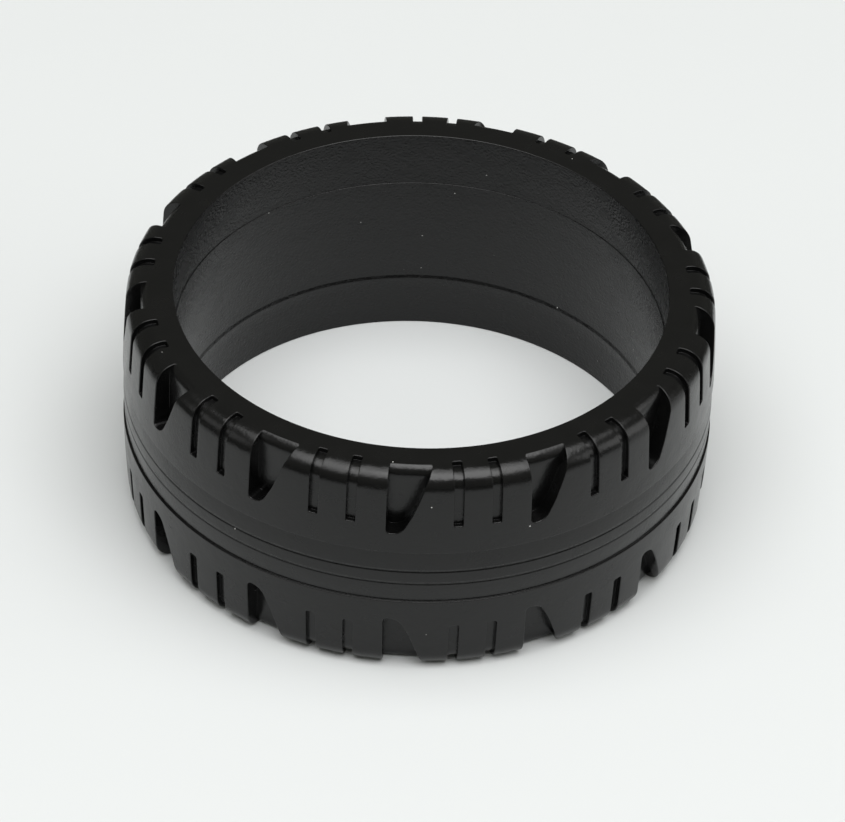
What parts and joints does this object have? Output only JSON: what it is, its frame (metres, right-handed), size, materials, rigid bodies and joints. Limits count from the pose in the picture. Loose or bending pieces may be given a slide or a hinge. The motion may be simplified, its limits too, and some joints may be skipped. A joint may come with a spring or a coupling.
{
  "type": "tyre ring",
  "caption": "One-piece moulded on-road tyre ring, lying flat, with notched shoulders and fine lines around the tread.",
  "frame": {"origin": "on the ring's axis, at its lower side face", "axes": "+Z along the ring's axis, across its width; -Y is the side where the first shoulder notch starts 4.9 degrees before it"},
  "size_m": [0.0626, 0.0626, 0.026],
  "materials": {
    "tyre": "satin"
  },
  "bodies": {
    "root": {"tyre": "tyre"}
  },
  "joints": []
}
